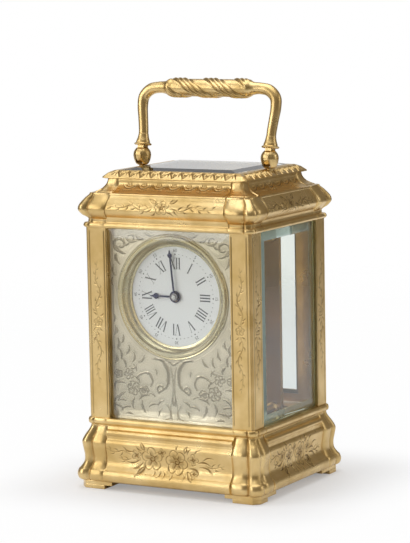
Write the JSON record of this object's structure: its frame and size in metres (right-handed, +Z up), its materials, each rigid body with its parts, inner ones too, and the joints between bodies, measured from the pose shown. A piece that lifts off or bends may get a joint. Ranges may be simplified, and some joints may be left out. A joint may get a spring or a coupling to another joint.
{
  "type": "carriage clock",
  "caption": "Gilt gorge-case carriage clock: moulded base and cornice, bevelled panes between pillars, engraved dial mask, key-wound movement and folding handle.",
  "frame": {"origin": "middle of the base on the surface that the clock stands on", "axes": "+X to the right seen from the dial, the dial faces -Y, +Z up"},
  "size_m": [0.0928, 0.0814, 0.1789],
  "materials": {
    "gilt": "engraved and fire-gilt, satin with burnished edges",
    "mask": "silvered gilt plate, engraved with scrolls on a stippled ground",
    "bezel": "polished gilt",
    "glass": "clear bevelled plate glass",
    "enamel": "white vitreous enamel with black numerals",
    "blued_steel": "polished and blued",
    "brass_frame": "grained and lacquered brass",
    "train_brass": "polished brass",
    "steel": "polished steel",
    "balance_metal": "polished brass rim"
  },
  "bodies": {
    "case": {"base_frame": "gilt", "seat_plate": "brass_frame", "seat_screws": "steel", "movement_screws": "steel", "case_screws": "steel", "pillar_front_left": "gilt", "pillar_front_right": "gilt", "pillar_rear_left": "gilt", "pillar_rear_right": "gilt", "cornice": "gilt", "lid_frame": "gilt", "glass_top": "glass", "glass_front": "glass", "glass_left": "glass", "glass_right": "glass", "knob_left": "gilt", "knob_right": "gilt", "handle_pins": "gilt", "dial_mask": "mask", "bezel_ring": "bezel", "enamel_dial": "enamel", "dial_plate": "brass_frame", "front_plate": "brass_frame", "back_plate": "brass_frame", "plate_pillars": "brass_frame", "plate_screws": "steel", "minute_stud": "steel", "click_screws": "steel", "click_spring": "steel", "platform": "brass_frame", "platform_screws": "steel", "potence": "brass_frame", "lever_bridge": "brass_frame", "hairspring": "blued_steel", "balance_cock": "brass_frame"},
    "rear_door": {"door_frame": "gilt", "glass_door": "glass", "door_pins": "steel", "door_knob": "gilt"},
    "carrying_handle": {"handle": "gilt"},
    "hands_arbor": {"centre_arbor": "steel", "cannon_pinion": "steel", "minute_hand": "blued_steel", "hand_collet": "steel"},
    "hour_group": {"hour_wheel": "train_brass", "hour_hand": "blued_steel"},
    "minute_wheel_group": {"minute_wheel": "train_brass"},
    "barrel_group": {"barrel": "train_brass", "barrel_cover": "train_brass", "mainspring": "blued_steel"},
    "winding_group": {"winding_arbor": "steel", "ratchet_wheel": "steel"},
    "click_group": {"click": "steel"},
    "centre_group": {"centre_wheel": "train_brass"},
    "third_group": {"third_wheel": "train_brass"},
    "contrate_group": {"contrate_wheel": "train_brass"},
    "escape_group": {"escape_wheel": "steel"},
    "lever_group": {"pallet_lever": "steel"},
    "balance_group": {"balance_wheel": "balance_metal"},
    "index_group": {"regulator_index": "steel"}
  },
  "joints": [
    {"name": "handle_fold", "type": "hinge", "parent": "case", "child": "carrying_handle", "pos_m": [0, 0, 0.1447], "axis": [1, 0, 0], "range_deg": [-80, 100]},
    {"name": "rear_door_swing", "type": "hinge", "parent": "case", "child": "rear_door", "pos_m": [-0.0286, 0.033, 0.07345], "axis": [0, 0, 1], "range_deg": [0, 90]},
    {"name": "minute_hand_turn", "type": "hinge", "parent": "case", "child": "hands_arbor", "pos_m": [0, -0.002, 0.086], "axis": [0, 1, 0], "continuous": true},
    {"name": "hour_hand_turn", "type": "hinge", "parent": "case", "child": "hour_group", "pos_m": [0, -0.028, 0.086], "axis": [0, 1, 0], "continuous": true},
    {"name": "minute_wheel_turn", "type": "hinge", "parent": "case", "child": "minute_wheel_group", "pos_m": [-0.012, -0.022, 0.086], "axis": [0, 1, 0], "continuous": true},
    {"name": "contrate_turn", "type": "hinge", "parent": "case", "child": "contrate_group", "pos_m": [0.00523, 0, 0.10356], "axis": [0, 1, 0], "continuous": true},
    {"name": "third_turn", "type": "hinge", "parent": "case", "child": "third_group", "pos_m": [0.01325, 0, 0.09365], "axis": [0, 1, 0], "continuous": true},
    {"name": "centre_turn", "type": "hinge", "parent": "case", "child": "centre_group", "pos_m": [0, 0.008, 0.086], "axis": [0, 1, 0], "continuous": true},
    {"name": "barrel_turn", "type": "hinge", "parent": "case", "child": "barrel_group", "pos_m": [-0.00395, 0, 0.06568], "axis": [0, 1, 0], "continuous": true},
    {"name": "escape_turn", "type": "hinge", "parent": "case", "child": "escape_group", "pos_m": [0.00523, 0.00956, 0.115], "axis": [0, 0, 1], "continuous": true},
    {"name": "winding_turn", "type": "hinge", "parent": "case", "child": "winding_group", "pos_m": [-0.00395, 0.01, 0.06568], "axis": [0, 1, 0], "range_deg": [0, 1800]},
    {"name": "click_lift", "type": "hinge", "parent": "case", "child": "click_group", "pos_m": [0.00768, 0.0208, 0.0692], "axis": [0, 1, 0], "range_deg": [0, 6]},
    {"name": "lever_rock", "type": "hinge", "parent": "case", "child": "lever_group", "pos_m": [0.00159, 0.00635, 0.117], "axis": [0, 0, 1], "range_deg": [-5, 5]},
    {"name": "balance_swing", "type": "hinge", "parent": "case", "child": "balance_group", "pos_m": [-0.0041, 0.00131, 0.118], "axis": [0, 0, 1], "range_deg": [-220, 220]},
    {"name": "index_turn", "type": "hinge", "parent": "case", "child": "index_group", "pos_m": [-0.0041, 0.00131, 0.1235], "axis": [0, 0, 1], "range_deg": [-25, 25]}
  ],
  "couplings": [
    {"joint": "hour_hand_turn", "follows": "minute_hand_turn", "ratio": 0.083333},
    {"joint": "minute_wheel_turn", "follows": "minute_hand_turn", "ratio": -0.33333},
    {"joint": "third_turn", "follows": "contrate_turn", "ratio": -0.13333},
    {"joint": "centre_turn", "follows": "contrate_turn", "ratio": 0.016667},
    {"joint": "barrel_turn", "follows": "contrate_turn", "ratio": -0.0020833},
    {"joint": "escape_turn", "follows": "contrate_turn", "ratio": 10}
  ]
}
